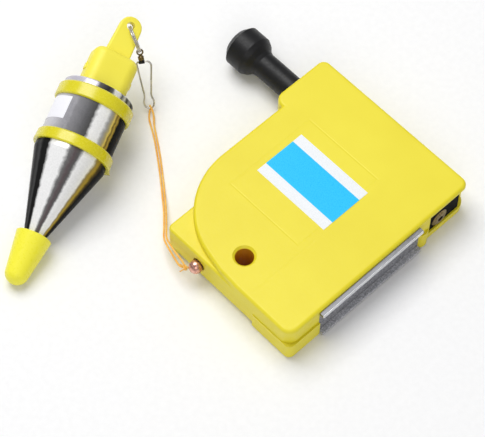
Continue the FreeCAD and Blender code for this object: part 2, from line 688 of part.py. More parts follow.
def main_line():
    """Line from its tangent point on the wound pack to the bead's mouth."""
    leaving = WOUND_RADIUS + LINE_DIAMETER / 2 + 0.05
    bend = Vector(OUTLET_X, OUTLET_INNER_Y + REACH, OUTLET_Z)
    reach = math.hypot(bend.x, bend.y)
    angle = math.atan2(bend.y, bend.x) - math.acos(leaving / reach)
    tangent = Vector(leaving * math.cos(angle), leaving * math.sin(angle), sum(WINDING_Z) / 2)
    middle = tangent.add(bend).multiply(0.5).add(Vector(-0.4, 0, 0.2))
    end = Vector(OUTLET_X, BEAD.y + BEAD_RADIUS + 0.1, OUTLET_Z)
    return round_along(route([tangent, middle, bend, end], "main_line"), LINE_DIAMETER / 2, "main_line")


def line_bead():
    direction = unit(KNOT_DIRECTION)
    reach = Vector(direction).multiply(BEAD_RADIUS + REACH)
    return Part.makeSphere(BEAD_RADIUS, BEAD).cut(rod(BEAD_BORE, BEAD.sub(reach), BEAD.add(reach)))


def knot_centre():
    return BEAD.add(unit(KNOT_DIRECTION).multiply(KNOT_DISTANCE))


def leader_knot():
    """Knot under the bead, with the stretch of line that ends inside the bead."""
    return fuse([Part.makeSphere(KNOT_RADIUS, knot_centre()), rod(LINE_DIAMETER / 2, BEAD, knot_centre())])


# ---- Plumb bob --------------------------------------------------------------------------------
def bob_tilt():
    """Tilt of the bob's axis when it rests on the lower band's brim and the cap's dome."""
    run = CAP_DOME_S - BRIM_S
    return math.acos(CAP_DOME_RADIUS / math.hypot(BRIM_RADIUS, run)) - math.atan2(run, BRIM_RADIUS)


def bob_frame():
    """Hole centre, then the right side, face normal and tab-to-point directions of the bob."""
    tilt = bob_tilt()
    heading = math.radians(BOB_HEADING)
    along = Vector(math.cos(tilt) * math.cos(heading), math.cos(tilt) * math.sin(heading), -math.sin(tilt))
    height = BRIM_RADIUS * math.cos(tilt) + BRIM_S * math.sin(tilt)
    upright = unit(Z_AXIS.sub(Vector(along).multiply(Z_AXIS.dot(along))))
    side = upright.cross(along)
    roll = math.radians(TAB_ROLL)
    normal = Vector(upright).multiply(math.cos(roll)).add(Vector(side).multiply(math.sin(roll)))
    return Vector(BOB_HOLE_XY[0], BOB_HOLE_XY[1], height), normal.cross(along), normal, along


def on_bob(shape):
    """Bob pieces are drawn with Z along the bob's axis, X to the tab's side and Y out of its face."""
    return placed(shape, *bob_frame())


def cone_radius(station, gap=0.0):
    return CONE_RADIUS_64 - CONE_SLOPE * (station - 64.0) + gap


def bob_head():
    half = TAB_THICKNESS / 2
    x, z = TAB_CENTRE
    base = [(-TAB_BASE_HALF, TAB_END_S), (TAB_BASE_HALF, TAB_END_S)]
    outline = [(x - TAB_RADIUS, z)] + base + [(x + TAB_RADIUS, z)]
    points = [Vector(across, -half, station) for across, station in outline]
    tab = Part.Face(Part.makePolygon(points + [points[0]])).extrude(Vector(0, TAB_THICKNESS, 0))
    tab = tab.fuse(rod(TAB_RADIUS, (x, -half, z), (x, half, z))).removeSplitter()
    tab = rounded(
        tab, TAB_ROUNDING,
        lambda edge: edge.BoundBox.YLength < 1e-6 and edge.BoundBox.ZMin < TAB_END_S / 2,
    )
    block = box((-HEAD_HALF_WIDTH, HEAD_HALF_WIDTH), (-HEAD_HALF_DEPTH, HEAD_HALF_DEPTH), HEAD_S)
    block = rounded(block, HEAD_CORNER, lambda edge: edge.BoundBox.ZLength > HEAD_CORNER)
    block = rounded(block, HEAD_TOP_ROUNDING, flat_at(HEAD_S[0]))
    ears = box((-EAR_HALF_WIDTH, EAR_HALF_WIDTH), (-EAR_HALF_DEPTH, EAR_HALF_DEPTH), EAR_S)
    hole = rod(TAB_HOLE, (0, -TAB_THICKNESS, 0), (0, TAB_THICKNESS, 0))
    stud = rod(STUD_RADIUS, (0, 0, STUD_S[0]), (0, 0, HEAD_S[1]))
    head = tab.multiFuse([block, ears]).cut(Part.makeCompound([hole, stud]))
    return on_bob(head.removeSplitter())


def head_stud():
    return on_bob(rod(STUD_RADIUS, (0, 0, STUD_S[0]), (0, 0, STUD_S[1])))


def bob_body():
    profile = [
        (STUD_S[1], 0), (STUD_S[1], STUD_RADIUS), (HEAD_S[1], STUD_RADIUS),
        (HEAD_S[1], BODY_TOP_RADIUS - 0.6), (HEAD_S[1] + 0.6, BODY_TOP_RADIUS),
        (UPPER_BAND_S[1], BODY_TOP_RADIUS),
        (UPPER_BAND_S[1], BODY_RADIUS),
        (LOWER_BAND_S[0], BODY_RADIUS), (LOWER_BAND_S[0], LOWER_GROOVE), (LOWER_BAND_S[1], LOWER_GROOVE),
        (LOWER_BAND_S[1], BODY_RADIUS), (65.2, cone_radius(65.2)), (POINT_S, cone_radius(POINT_S)),
        (POINT_S + 0.2, 0),
    ]
    return on_bob(turned(profile))


def upper_band():
    low, high = UPPER_BAND_S
    profile = [
        (low, BODY_TOP_RADIUS), (low, UPPER_BAND_RADIUS - 0.7), (low + 0.7, UPPER_BAND_RADIUS),
        (high - 0.5, UPPER_BAND_RADIUS), (high, UPPER_BAND_RADIUS - 0.5), (high, BODY_TOP_RADIUS),
    ]
    return on_bob(turned(profile))


def lower_band():
    """Plastic band in its groove, with a small spur that stands out on the right side."""
    low, high = LOWER_BAND_S
    profile = [
        (low, LOWER_GROOVE), (low, 16.6), (low + 0.6, 17.2), (BRIM_S, BRIM_RADIUS), (high, 17.1),
        (high, LOWER_GROOVE),
    ]
    outlines = []
    for station, root, reach, half in zip(SPUR_S, SPUR_ROOT, SPUR_REACH, SPUR_HALF_WIDTH):
        corners = [Vector(root, -half, station), Vector(reach, 0, station), Vector(root, half, station)]
        outlines.append(Part.makePolygon(corners + [corners[0]]))
    spur = Part.makeLoft(outlines, True, True)
    return on_bob(turned(profile).fuse(spur).removeSplitter())


def bob_sticker():
    """Thin curved sticker on the steel."""
    outer = BODY_RADIUS + STICKER_THICKNESS
    skin = tube(outer, BODY_RADIUS, (0, 0, STICKER_S[0]), (0, 0, STICKER_S[1]))
    reach = 2 * BODY_RADIUS
    corners = [Vector(0, 0, STICKER_S[0])]
    for angle in STICKER_ANGLES:
        turn = math.radians(angle)
        corners.append(Vector(reach * math.sin(turn), reach * math.cos(turn), STICKER_S[0]))
    wedge = Part.Face(Part.makePolygon(corners + [corners[0]]))
    return on_bob(skin.common(wedge.extrude(Vector(0, 0, STICKER_S[1] - STICKER_S[0]))))


def tip_cap():
    """Rubber cap over the steel point: flared mouth, tapered wall and domed end."""
    profile = [
        (CAP_MOUTH_S, CAP_BORE), (CAP_MOUTH_S, CAP_MOUTH_RADIUS - CAP_LIP),
        (CAP_MOUTH_S + CAP_LIP, CAP_MOUTH_RADIUS),
        (CAP_DOME_S, CAP_DOME_RADIUS),
    ]
    for step in range(CAP_DOME_STEPS + 1):
        angle = CAP_DOME_START + (math.pi / 2 - CAP_DOME_START) * step / CAP_DOME_STEPS
        radius = CAP_DOME_RADIUS * math.cos(angle) if step < CAP_DOME_STEPS else 0
        profile.append((CAP_DOME_S + CAP_DOME_RADIUS * math.sin(angle), radius))
    profile += [
        (POINT_S + CAP_LIP, 0), (POINT_S + 2 * CAP_GAP, cone_radius(POINT_S, CAP_GAP)),
        (CAP_SEAT_S, cone_radius(CAP_SEAT_S, CAP_GAP)),
    ]
    return on_bob(turned(profile))


# ---- Ring, swivel and snap --------------------------------------------------------------------
def ring_axes():
    """Direction from the tab's hole to the ring's far end, and the ring's direction at either."""
    across = unit(RING_FAR_END.sub(bob_frame()[0]))
    tangent = unit(RING_LEAN.sub(Vector(across).multiply(RING_LEAN.dot(across))))
    return across, tangent


def chain_frame():
    """Chain from the ring's far end to the snap's foot: width, depth and length directions."""
    length = unit(SNAP_FOOT.sub(RING_FAR_END))
    level = Vector(0.701, 0.713, 0)
    width = unit(level.sub(Vector(length).multiply(level.dot(length))))
    return width, length.cross(width), length


def on_chain(shape):
    """Chain pieces are drawn with Z from the ring to the snap's foot and X across the snap."""
    return placed(shape, RING_FAR_END, *chain_frame())


def tab_ring():
    hole = bob_frame()[0]
    across, tangent = ring_axes()
    centre = hole.add(RING_FAR_END).multiply(0.5)
    radius = RING_FAR_END.sub(hole).Length / 2
    axis = across.cross(tangent)
    offset = Vector(axis).multiply(RING_TURN_OFFSET)
    places = (centre.sub(offset), centre.add(offset))
    return fuse([Part.makeTorus(radius, RING_WIRE, place, axis) for place in places])


def swivel_eye():
    """Wire eye around the ring, with a headed stem in the barrel."""
    tangent = ring_axes()[1]
    width, depth, length = chain_frame()
    normal = unit(tangent.sub(Vector(length).multiply(tangent.dot(length))))
    local = Vector(normal.dot(width), normal.dot(depth), 0)
    eye = Part.makeTorus(EYE_RADIUS, EYE_WIRE, Vector(0, 0, EYE_CENTRE_T), local)
    stem = rod(STEM_RADIUS, (0, 0, EYE_CENTRE_T + EYE_RADIUS - 0.1), (0, 0, BARREL_T[0] + HEAD_T[0] + 0.1))
    head = rod(STEM_HEAD, (0, 0, BARREL_T[0] + HEAD_T[0]), (0, 0, BARREL_T[0] + HEAD_T[1]))
    return on_chain(fuse([eye, stem, head]))


def swivel_barrel():
    """Hollow barrel that turns freely on both headed stems."""
    low, high = BARREL_T
    hole = STEM_RADIUS + STEM_GAP
    room = STEM_HEAD + STEM_GAP
    inside = (low + BARREL_WALL, high - BARREL_WALL)
    profile = [
        (low, hole), (low, BARREL_END_RADIUS), (inside[0], BARREL_RADIUS), (inside[1], BARREL_RADIUS),
        (high, BARREL_END_RADIUS), (high, hole), (inside[1], hole), (inside[1], room), (inside[0], room),
        (inside[0], hole),
    ]
    return on_chain(turned(profile))


def snap_clasp():
    """Dark clasp that closes the snap's wire and hangs it from the swivel."""
    middle = sum(CLASP_T) / 2
    block = box((-CLASP_HALF_WIDTH, CLASP_HALF_WIDTH), (-CLASP_HALF_DEPTH, CLASP_HALF_DEPTH), CLASP_T)
    stem = rod(STEM_RADIUS, (0, 0, BARREL_T[1] - HEAD_T[0] - 0.1), (0, 0, CLASP_T[0] + 0.1))
    head = rod(STEM_HEAD, (0, 0, BARREL_T[1] - HEAD_T[1]), (0, 0, BARREL_T[1] - HEAD_T[0]))
    wire = rod(SNAP_WIRE, (-2 * CLASP_HALF_WIDTH, 0, middle), (2 * CLASP_HALF_WIDTH, 0, middle))
    return on_chain(fuse([block, stem, head]).cut(wire))


def snap_hook():
    """One bent wire: a wide top, two long legs and a small eye for the leader."""
    top = sum(CLASP_T) / 2
    foot = SNAP_FOOT.sub(RING_FAR_END).Length
    outline = [
        (0.1, top), (2.9, top), (3.9, top + 1.6), (1.4, foot - 5.6), (2.4, foot - 2.9), (1.5, foot),
        (-1.5, foot), (-2.4, foot - 2.9), (-1.4, foot - 5.6), (-2.3, top + 1.3), (-2.1, top), (-0.1, top),
    ]
    points = [(x, 0, z) for x, z in outline]
    return on_chain(round_along(route(points, "snap_hook"), SNAP_WIRE, "snap_hook"))


def leader_loop():
    """Leader from the knot out to the snap, round its wire and back to the knot."""
    width = chain_frame()[0]
    arriving = unit(Vector(-0.783, 0.622, 0))
    upward = width.cross(arriving)
    beyond = SNAP_FOOT.add(Vector(arriving).multiply(TURN_REACH))
    under = beyond.sub(Vector(upward).multiply(TURN_REACH))
    over = beyond.add(Vector(upward).multiply(TURN_REACH))
    knot = knot_centre()
    first = knot.add(unit(Vector(LEADER_OUT[0]).sub(knot)).multiply(KNOT_RADIUS - KNOT_BITE))
    last = knot.add(unit(Vector(LEADER_BACK[-1]).sub(knot)).multiply(KNOT_RADIUS - KNOT_BITE))
    points = [first] + LEADER_OUT + [under, over] + LEADER_BACK + [last]
    return round_along(route(points, "leader_loop"), LEADER_DIAMETER / 2, "leader_loop")


PIECES = {
    "front_cover": front_cover,
    "rear_cover": rear_cover,
    "case_screws": case_screws,
    "front_label": front_label,
    "upper_pole_plate": lambda: pole_plate(UPPER_PLATE_TOP_Z - PLATE),
    "lower_pole_plate": lambda: pole_plate(LOWER_PLATE_FOOT_Z),
    "magnet_block": magnet_block,
    "push_knob": push_knob,
    "needle": needle,
    "needle_guide": needle_guide,
    "needle_nose": needle_nose,
    "return_spring": return_spring,
    "spool_axle": lambda: rod(AXLE_RADIUS, (0, 0, 0.8), (0, 0, CASE_HEIGHT - 1)),
    "spool": spool,
    "wound_line": wound_line,
    "drag_washer": drag_washer,
    "power_spring": power_spring,
    "outlet_eyelet": outlet_eyelet,
    "main_line": main_line,
    "line_bead": line_bead,
    "leader_knot": leader_knot,
    "leader_loop": leader_loop,
    "snap_hook": snap_hook,
    "snap_clasp": snap_clasp,
    "swivel_barrel": swivel_barrel,
    "swivel_eye": swivel_eye,
    "tab_ring": tab_ring,
    "bob_head": bob_head,
    "head_stud": head_stud,
    "bob_body": bob_body,
    "upper_band": upper_band,
    "lower_band": lower_band,
    "bob_sticker": bob_sticker,
    "tip_cap": tip_cap,
}

os.makedirs("parts", exist_ok=True)
for piece_name, build in PIECES.items():
    save(piece_name, build())
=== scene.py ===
import bpy
import bmesh
import json
import math
import random
from mathutils import Matrix, Vector


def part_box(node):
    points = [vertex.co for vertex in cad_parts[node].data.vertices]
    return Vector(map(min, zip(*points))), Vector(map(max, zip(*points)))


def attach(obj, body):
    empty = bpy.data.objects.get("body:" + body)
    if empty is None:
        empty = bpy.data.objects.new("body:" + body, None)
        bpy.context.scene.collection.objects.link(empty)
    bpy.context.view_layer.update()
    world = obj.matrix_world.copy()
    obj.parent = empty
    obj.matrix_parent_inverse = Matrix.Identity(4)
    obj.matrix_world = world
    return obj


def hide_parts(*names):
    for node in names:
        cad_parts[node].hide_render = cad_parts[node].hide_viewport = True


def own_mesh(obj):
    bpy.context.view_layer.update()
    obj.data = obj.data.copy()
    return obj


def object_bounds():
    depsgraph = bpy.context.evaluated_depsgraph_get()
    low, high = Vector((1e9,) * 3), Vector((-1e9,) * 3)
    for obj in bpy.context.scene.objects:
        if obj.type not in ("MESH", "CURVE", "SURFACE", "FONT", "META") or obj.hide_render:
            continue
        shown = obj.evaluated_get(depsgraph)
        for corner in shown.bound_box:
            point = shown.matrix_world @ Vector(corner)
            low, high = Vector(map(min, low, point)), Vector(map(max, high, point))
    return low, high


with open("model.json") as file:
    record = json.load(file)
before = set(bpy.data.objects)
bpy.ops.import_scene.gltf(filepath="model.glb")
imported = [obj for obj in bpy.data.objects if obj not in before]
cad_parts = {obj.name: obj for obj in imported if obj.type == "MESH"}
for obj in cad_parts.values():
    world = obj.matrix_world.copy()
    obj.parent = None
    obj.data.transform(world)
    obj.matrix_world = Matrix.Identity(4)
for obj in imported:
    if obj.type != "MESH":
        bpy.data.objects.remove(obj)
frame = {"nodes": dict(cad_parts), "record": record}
CAD_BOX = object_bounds()
MM = 0.001
JOINTS = {joint["name"]: joint for joint in frame["record"]["behaviour"]["joints"]}
SLOTS = {part["node"]: part["material_slot"] for part in frame["record"]["subparts"]}


# ---- Small helpers ------------------------------------------------------------------------
def mm(x, y, z):
    return Vector((x, y, z)) * MM


def link(obj):
    bpy.context.scene.collection.objects.link(obj)
    return obj


def use(obj, material):
    obj.data.materials.clear()
    obj.data.materials.append(material)


ORIGIN = Vector()
AXES = ((1, 0, 0), (0, 1, 0), (0, 0, 1))

# The bob's own axes: out of the tab's face, from the tab to the point, and across.
BOB_HOLE = Vector(JOINTS["bob_swing"]["pos_m"])
BOB_NORMAL = Vector(JOINTS["bob_swing"]["axis"]).normalized()
BOB_ALONG = Vector(JOINTS["cap_pull"]["axis"]).normalized()
BOB_SIDE = BOB_NORMAL.cross(BOB_ALONG)

# Middles of the hang hole, the bead and the knot behind the bead.
HANG = mm(7.9, -23.5, 0.0)
BEAD = mm(-6.1, -37.7, 10.0)
KNOT = mm(-9.09, -40.74, 8.92)


# ---- Camera -------------------------------------------------------------------------------
VIEW_AZIMUTH = 45.51       # degrees
VIEW_ELEVATION = 59.77
VIEW_ROLL = 1.10
VIEW_DISTANCE = 0.8662     # metres
VIEW_TARGET = mm(-9.59, -7.87, 10.0)
LENS = 154.3               # millimetres, like the sensor
SENSOR = 36.0
CLIP_START = 0.01
CLIP_END = 20.0


def add_camera():
    azimuth = math.radians(VIEW_AZIMUTH)
    elevation = math.radians(VIEW_ELEVATION)
    roll = math.radians(VIEW_ROLL)
    back = Vector((
        math.cos(elevation) * math.sin(azimuth),
        -math.cos(elevation) * math.cos(azimuth),
        math.sin(elevation),
    ))
    level = Vector((math.cos(azimuth), math.sin(azimuth), 0.0))
    upright = back.cross(level)
    right = level * math.cos(roll) + upright * math.sin(roll)
    up = back.cross(right)
    turn = Matrix((right, up, back)).transposed().to_4x4()
    data = bpy.data.cameras.new("camera")
    data.lens = LENS
    data.sensor_width = SENSOR
    data.clip_start = CLIP_START
    data.clip_end = CLIP_END
    camera = link(bpy.data.objects.new("camera", data))
    camera.matrix_world = Matrix.Translation(VIEW_TARGET + back * VIEW_DISTANCE) @ turn
    bpy.context.scene.camera = camera


# ---- Materials ----------------------------------------------------------------------------
NOISE_LOW = 0.3     # most of a noise texture's values lie between these two
NOISE_HIGH = 0.7


class Surface:
    """A procedural material built node by node, in the object's own metres."""

    def __init__(self, name, **constants):
        self.material = bpy.data.materials.new(name)
        self.material.use_nodes = True
        self.tree = self.material.node_tree
        self.bsdf = self.tree.nodes["Principled BSDF"]
        for socket, value in constants.items():
            self.bsdf.inputs[socket.replace("_", " ")].default_value = value
        self.place = self.node("ShaderNodeTexCoord").outputs["Object"]

    def node(self, kind, **settings):
        made = self.tree.nodes.new(kind)
        for key, value in settings.items():
            setattr(made, key, value)
        return made

    def feed(self, socket, value):
        """Link a socket to another node's output, or set it to a constant."""
        if isinstance(value, bpy.types.NodeSocket):
            self.tree.links.new(value, socket)
        elif socket.type == "RGBA" and len(value) == 3:
            socket.default_value = (*value, 1.0)
        else:
            socket.default_value = value

    def maths(self, operation, *values):
        made = self.node("ShaderNodeMath", operation=operation)
        for socket, value in zip(made.inputs, values):
            self.feed(socket, value)
        return made.outputs[0]

    def plus(self, first, second):
        return self.maths("ADD", first, second)

    def minus(self, first, second):
        return self.maths("SUBTRACT", first, second)

    def times(self, first, second):
        return self.maths("MULTIPLY", first, second)

    def blend(self, first, second, share):
        """Weighted mean of two values; share is the first one's weight."""
        return self.plus(self.times(first, share), self.times(second, 1.0 - share))

    def beyond(self, value, middle, half):
        """Distance outside a band with the given middle and half width."""
        return self.minus(self.maths("ABSOLUTE", self.minus(value, middle)), half)

    def along(self, origin, direction):
        """Distance from a point along a direction, in metres."""
        offset = self.node("ShaderNodeVectorMath", operation="SUBTRACT")
        self.feed(offset.inputs[0], self.place)
        self.feed(offset.inputs[1], origin)
        dot = self.node("ShaderNodeVectorMath", operation="DOT_PRODUCT")
        self.feed(dot.inputs[0], offset.outputs[0])
        self.feed(dot.inputs[1], direction)
        return dot.outputs["Value"]

    def noise(self, scale, detail=2.0, stretch=(1.0, 1.0, 1.0)):
        mapped = self.node("ShaderNodeMapping")
        self.feed(mapped.inputs["Vector"], self.place)
        self.feed(mapped.inputs["Scale"], stretch)
        made = self.node("ShaderNodeTexNoise")
        self.feed(made.inputs["Vector"], mapped.outputs[0])
        self.feed(made.inputs["Scale"], scale)
        self.feed(made.inputs["Detail"], detail)
        return made.outputs[0]

    def span(self, value, low, high, first=0.0, last=1.0):
        """Smooth step from first to last while value goes from low to high."""
        made = self.node("ShaderNodeMapRange", interpolation_type="SMOOTHSTEP")
        for socket, given in zip(made.inputs, (value, low, high, first, last)):
            self.feed(socket, given)
        return made.outputs[0]

    def within(self, value, low, high, soft):
        """1 between two values and 0 outside, over a soft edge."""
        rise = self.span(value, low - soft, low + soft)
        fall = self.span(value, high - soft, high + soft, 1.0, 0.0)
        return self.times(rise, fall)

    def uneven(self, noise, low, high):
        """Value that wanders from low to high with a noise."""
        return self.span(noise, NOISE_LOW, NOISE_HIGH, low, high)

    def ramp(self, value, stops):
        made = self.node("ShaderNodeValToRGB")
        elements = made.color_ramp.elements
        while len(elements) < len(stops):
            elements.new(0.5)
        for element, (position, colour) in zip(elements, stops):
            element.position = position
            element.color = (*colour, 1.0)
        self.feed(made.inputs[0], value)
        return made.outputs[0]

    def mottle(self, noise, dark, light):
        """Colour that wanders from dark to light with a noise."""
        return self.ramp(noise, [(NOISE_LOW, dark), (NOISE_HIGH, light)])

    def mix(self, factor, first, second, blend_type="MIX"):
        made = self.node("ShaderNodeMix", data_type="RGBA", blend_type=blend_type)
        self.feed(made.inputs[0], factor)
        self.feed(made.inputs[6], first)
        self.feed(made.inputs[7], second)
        return made.outputs[2]

    def colour(self, value):
        self.feed(self.bsdf.inputs["Base Color"], value)

    def painted(self):
        """The colour given so far, to build further on."""
        return self.bsdf.inputs["Base Color"].links[0].from_socket

    def roughness(self, value):
        self.feed(self.bsdf.inputs["Roughness"], value)

    def bump(self, height, depth):
        made = self.node("ShaderNodeBump")
        self.feed(made.inputs["Strength"], 1.0)
        self.feed(made.inputs["Distance"], depth)
        self.feed(made.inputs["Height"], height)
        self.feed(self.bsdf.inputs["Normal"], made.outputs[0])


def moulded(name, dark, light, rough, grain=900.0, depth=0.02 * MM, **constants):
    """Injection-moulded plastic: cloudy colour, fine skin grain and uneven gloss."""
    surface = Surface(name, **constants)
    surface.colour(surface.mottle(surface.noise(scale=28.0, detail=3.0), dark, light))
    skin = surface.noise(scale=grain, detail=3.0)
    surface.roughness(surface.uneven(skin, rough - 0.05, rough + 0.07))
    surface.bump(skin, depth)
    return surface


SEAM_Z = (10.42 * MM, 10.6 * MM)          # parting line between the covers
SEAM_SOFT = 0.05 * MM
# Painted shade along the parting line: how strongly it darkens, and its colour.
SEAM_SHADE_SHARE = 0.15
SEAM_SHADE = (0.16, 0.11, 0.004)
HOLE_SHADE_RADIUS = (4.02 * MM, 4.25 * MM)      # where the painted shade inside the hang hole ends
HOLE_RIM_Z = (18.7 * MM, 19.3 * MM)
HOLE_SHADE = (0.62, 0.27, 0.010)
PANEL_MIDDLE = (-0.75 * MM, 19.0 * MM)    # raised panel under the label
PANEL_HALF = (20.2 * MM, 23.0 * MM)
PANEL_LINE = (0.1 * MM, 0.5 * MM)
CREASE_X = (22.2 * MM, 22.8 * MM)
CREASE_Y = (-32.0 * MM, 2.0 * MM)
FRONT_FACE_Z = (19.7 * MM, 19.9 * MM)     # the panel and crease lie on the front face
CASE_RELIEF = 0.045 * MM


def add_case_details(surface):
    """Painted shade on the parting line and inside the hang hole, and the faint panel and
    crease in front.
    """
    x, y, z = (surface.along(ORIGIN, axis) for axis in AXES)
    # Painted shade darkens the parting line between the covers.
    seam_shade = surface.times(surface.within(z, *SEAM_Z, SEAM_SOFT), SEAM_SHADE_SHARE)
    base = surface.mix(seam_shade, surface.painted(), SEAM_SHADE)
    # Painted shade on the hang hole's inner wall, fading out towards its rim.
    reach_x = surface.minus(x, HANG.x)
    reach_y = surface.minus(y, HANG.y)
    square = surface.plus(surface.times(reach_x, reach_x), surface.times(reach_y, reach_y))
    inside = surface.span(surface.maths("SQRT", square), *HOLE_SHADE_RADIUS, 1.0, 0.0)
    inside = surface.times(inside, surface.span(z, *HOLE_RIM_Z, 1.0, 0.0))
    surface.colour(surface.mix(inside, base, HOLE_SHADE))
    across = surface.beyond(x, PANEL_MIDDLE[0], PANEL_HALF[0])
    upward = surface.beyond(y, PANEL_MIDDLE[1], PANEL_HALF[1])
    edge = surface.maths("ABSOLUTE", surface.maths("MAXIMUM", across, upward))
    panel = surface.span(edge, *PANEL_LINE, 1.0, 0.0)
    crease = surface.times(
        surface.within(x, *CREASE_X, 0.4 * MM), surface.within(y, *CREASE_Y, 2.0 * MM)
    )
    lines = surface.times(
        surface.maths("MAXIMUM", panel, crease), surface.span(z, *FRONT_FACE_Z)
    )
    skin = surface.noise(scale=900.0, detail=3.0)
    surface.bump(surface.minus(surface.times(skin, 0.3), lines), CASE_RELIEF)
    return surface


def brushed(name, dark, light, rough, stretch, metallic=1.0):
    """Metal with fine marks drawn out along one direction."""
    surface = Surface(name, Metallic=metallic)
    marks = surface.noise(scale=2600.0, detail=3.0, stretch=stretch)
    tone = surface.blend(marks, surface.noise(scale=60.0), 0.6)
    surface.colour(surface.ramp(tone, [(0.36, dark), (0.64, light)]))
    surface.roughness(surface.uneven(marks, rough - 0.06, rough + 0.1))
    surface.bump(marks, 0.006 * MM)
    return surface


def grey(value, tint=0.0):
    """Grey, turned towards blue-violet by the tint."""
    return (value, value * (1.0 - 0.25 * tint), value * (1.0 + tint))


# Painted reflections and shade round the bob's axis: degrees from the tab's face, and the
# colour there.
CYLINDER_PAINTED_LIGHT = [
    (-180, grey(0.45)), (-150, grey(0.85)), (-132, grey(0.16)), (-112, grey(0.62)),
    (-60, grey(0.62, 0.06)), (-46, grey(0.42, 0.06)), (-34, grey(0.20, 0.05)),
    (-16, grey(0.13, 0.04)), (-4, grey(0.08)), (1, grey(1.0)), (16, grey(1.0)),
    (22, grey(0.42)), (27, (0.46, 0.40, 0.22)), (31, (0.90, 0.68, 0.16)),
    (34, (0.14, 0.10, 0.03)), (38, (0.56, 0.40, 0.09)), (42, grey(0.008)), (94, grey(0.01)),
    (106, grey(0.6)), (125, grey(0.2)), (150, grey(0.9)), (166, grey(0.3)), (180, grey(0.45)),
]
CONE_PAINTED_LIGHT = [
    (-180, grey(0.3)), (-150, grey(0.85)), (-122, grey(0.7)), (-104, grey(0.10)),
    (-80, grey(0.012)), (-69, grey(0.06)), (-64, grey(0.012)), (-52, grey(0.015)),
    (-46, grey(1.0)), (-21, grey(1.0)), (-14, grey(0.16)), (-6, (0.11, 0.085, 0.09)),
    (1, grey(0.10)), (6, grey(1.0)), (28, grey(1.0)), (33, (0.32, 0.25, 0.09)),
    (39, (0.50, 0.35, 0.05)), (45, (0.10, 0.07, 0.02)), (52, grey(0.008)), (94, grey(0.012)),
    (106, grey(0.5)), (120, grey(0.7)), (132, grey(0.14)), (152, grey(0.85)), (180, grey(0.3)),
]
LEDGE_PAINTED_LIGHT = [
    (-180, grey(0.4)), (-120, grey(0.6)), (-60, grey(0.62, 0.12)), (-22, grey(0.66, 0.12)),
    (-14, grey(0.12)), (0, grey(0.03)), (8, grey(0.12)), (13, grey(0.9)), (22, grey(0.85)),
    (26, grey(0.04)), (33, grey(0.75)), (38, grey(0.03)), (47, grey(0.4)), (55, grey(0.03)),
    (90, grey(0.25)), (140, grey(0.7)), (180, grey(0.4)),
]
LEDGE_END = (38.0 * MM, 38.5 * MM)     # distances from the tab's hole towards the point
CONE_START = (62.4 * MM, 62.6 * MM)
PAINTED_LIGHT_WAVER = 0.12                    # radians


def around_bob(surface, stops):
    """Painted reflections and shade as a colour ramp round the bob's axis, slightly wavering.
    """
    across = surface.along(BOB_HOLE, BOB_SIDE)
    outward = surface.along(BOB_HOLE, BOB_NORMAL)
    waver = surface.minus(surface.noise(scale=420.0, detail=4.0), 0.5)
    angle = surface.maths("ARCTAN2", across, outward)
    angle = surface.plus(angle, surface.times(waver, PAINTED_LIGHT_WAVER))
    turn = surface.plus(surface.maths("DIVIDE", angle, 2.0 * math.pi), 0.5)
    return surface.ramp(turn, [(degrees / 360.0 + 0.5, colour) for degrees, colour in stops])


def polished_bob():
    """Turned and polished steel; the reflections it would show are painted round its axis."""
    surface = Surface("polished_bob", Specular_IOR_Level=0.02)
    station = surface.along(BOB_HOLE, BOB_ALONG)
    cylinder = around_bob(surface, CYLINDER_PAINTED_LIGHT)
    cone = around_bob(surface, CONE_PAINTED_LIGHT)
    ledge = around_bob(surface, LEDGE_PAINTED_LIGHT)
    # Painted reflections and shade of the cylinder, the cone and the ledge, joined along the
    # axis.
    painted_light = surface.mix(surface.span(station, *CONE_START), cylinder, cone)
    painted_light = surface.mix(surface.span(station, *LEDGE_END, 1.0, 0.0), painted_light, ledge)
    speck = surface.span(surface.noise(scale=1400.0, detail=4.0), 0.32, 0.68, 0.9, 1.0)
    surface.colour(surface.mix(0.8, painted_light, speck, "MULTIPLY"))
    shine = surface.node("ShaderNodeRGBToBW")
    surface.feed(shine.inputs[0], painted_light)
    metallic = surface.span(shine.outputs[0], 0.0, 0.5, 0.0, 0.22)
    surface.feed(surface.bsdf.inputs["Metallic"], metallic)
    turning = surface.node("ShaderNodeTexNoise", noise_dimensions="1D")
    surface.feed(turning.inputs["W"], surface.times(station, 4200.0))
    surface.feed(turning.inputs["Scale"], 1.0)
    surface.roughness(surface.uneven(turning.outputs[0], 0.14, 0.26))
    surface.bump(turning.outputs[0], 0.004 * MM)
    return surface


CYAN_FIELD_Y = (13.6 * MM, 29.3 * MM)
CYAN_FIELD_SOFT = 0.06 * MM


def printed_label():
    """Glossy printed sticker: a cyan field between two white margins, with no lettering."""
    surface = Surface("printed_label", Specular_IOR_Level=0.2)
    y = surface.along(ORIGIN, AXES[1])
    screen = surface.noise(scale=3000.0)
    white = surface.mottle(screen, (0.80, 0.83, 0.86), (0.90, 0.92, 0.94))
    cyan = surface.mottle(screen, (0.008, 0.50, 0.93), (0.02, 0.58, 0.98))
    field = surface.within(y, *CYAN_FIELD_Y, CYAN_FIELD_SOFT)
    surface.colour(surface.mix(field, white, cyan))
    surface.roughness(surface.uneven(screen, 0.26, 0.36))
    surface.bump(surface.plus(surface.times(field, 0.5), screen), 0.008 * MM)
    return surface


def speckled(name, dark, middle, light):
    """Sintered ferrite or dull plating: grey grains of several sizes."""
    surface = Surface(name)
    fine = surface.noise(scale=5000.0)
    tone = surface.blend(surface.noise(scale=1500.0, detail=4.0), fine, 0.6)
    surface.colour(surface.ramp(tone, [(0.38, dark), (0.5, middle), (0.62, light)]))
    surface.roughness(surface.uneven(fine, 0.45, 0.65))
    surface.bump(tone, 0.04 * MM)
    return surface


# Where the painted highlight runs along the pole plate's outer edge.
PLATE_EDGE_X = (48.85 * MM, 49.02 * MM)


